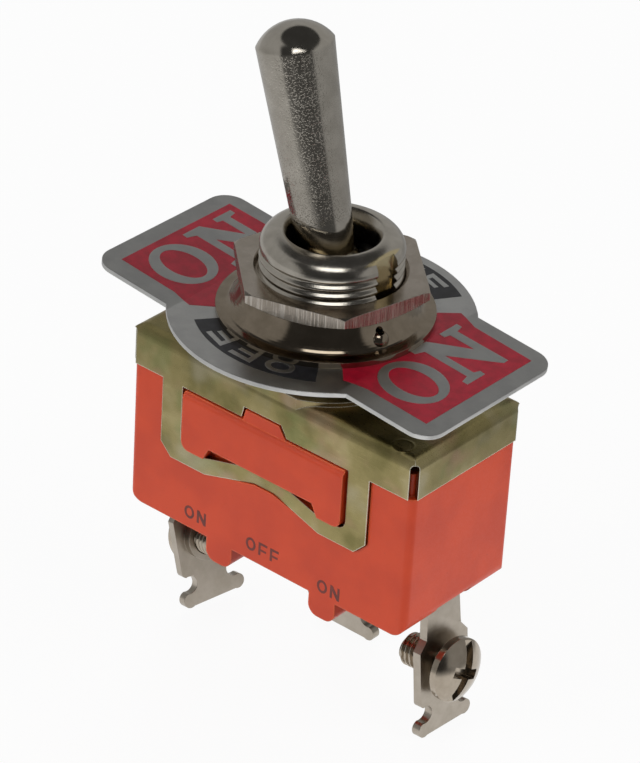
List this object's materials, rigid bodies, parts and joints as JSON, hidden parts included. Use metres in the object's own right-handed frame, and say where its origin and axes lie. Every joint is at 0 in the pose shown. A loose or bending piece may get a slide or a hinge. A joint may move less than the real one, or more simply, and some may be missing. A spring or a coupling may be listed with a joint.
{
  "type": "panel toggle switch",
  "caption": "Panel toggle switch, ON-OFF-ON, with threaded bushing, nuts, legend plate, folded metal frame, orange moulded housing and three screw terminals.",
  "frame": {"origin": "on the bushing's axis, on top of the frame cover's raised boss, where the bushing leaves the cover", "axes": "+Z along the bushing towards the lever, +X towards the right end of the housing, +Y towards the back"},
  "size_m": [0.0358, 0.0254, 0.0584],
  "materials": {
    "orange_moulding": "satin",
    "yellow_zinc": "satin, yellow passivated zinc on steel",
    "nickel": "polished nickel plate",
    "nickel_bright": "polished nickel plate",
    "nickel_satin": "satin nickel plate",
    "steel": "plain",
    "white_nylon": "moulded",
    "brass": "plain",
    "silver": "satin",
    "printed_aluminium": "satin, printed red and black",
    "fibre_sheet": "plain"
  },
  "bodies": {
    "case": {"housing": "orange_moulding", "frame_cover": "yellow_zinc", "bushing": "nickel", "lever_pin": "steel", "rocker_support": "brass", "centre_rivet": "brass", "fixed_contact_left": "silver", "fixed_contact_right": "silver", "terminal_left": "nickel_satin", "terminal_centre": "nickel_satin", "terminal_right": "nickel_satin", "screw_left": "nickel_bright", "screw_centre": "nickel_bright", "screw_right": "nickel_bright", "front_nut": "nickel", "back_nut": "nickel", "dished_washer": "nickel", "lock_washer": "steel", "on_off_plate": "printed_aluminium", "insulator_sheet": "fibre_sheet"},
    "toggle": {"lever": "nickel_bright", "plunger_spring": "steel"},
    "push": {"plunger": "white_nylon"},
    "tilt": {"rocker": "brass", "rocker_contact_left": "silver", "rocker_contact_right": "silver"}
  },
  "joints": [
    {"name": "lever_hinge", "type": "hinge", "parent": "case", "child": "toggle", "pos_m": [0, 0, 0.00762], "axis": [0, 1, 0], "range_deg": [0, 29.6]},
    {"name": "plunger_slide", "type": "slide", "parent": "toggle", "child": "push", "axis": [-0.2554, 0, 0.9668], "range_m": [0, 0.0008], "stiffness_N_per_m": 100, "springref_m": -0.002, "deforming": ["plunger_spring"]},
    {"name": "rocker_hinge", "type": "hinge", "parent": "case", "child": "tilt", "pos_m": [0, 0, -0.0136], "axis": [0, 1, 0], "range_deg": [-11.84, 0]}
  ],
  "couplings": [
    {"joint": "rocker_hinge", "follows": "lever_hinge", "ratio": -0.4}
  ]
}
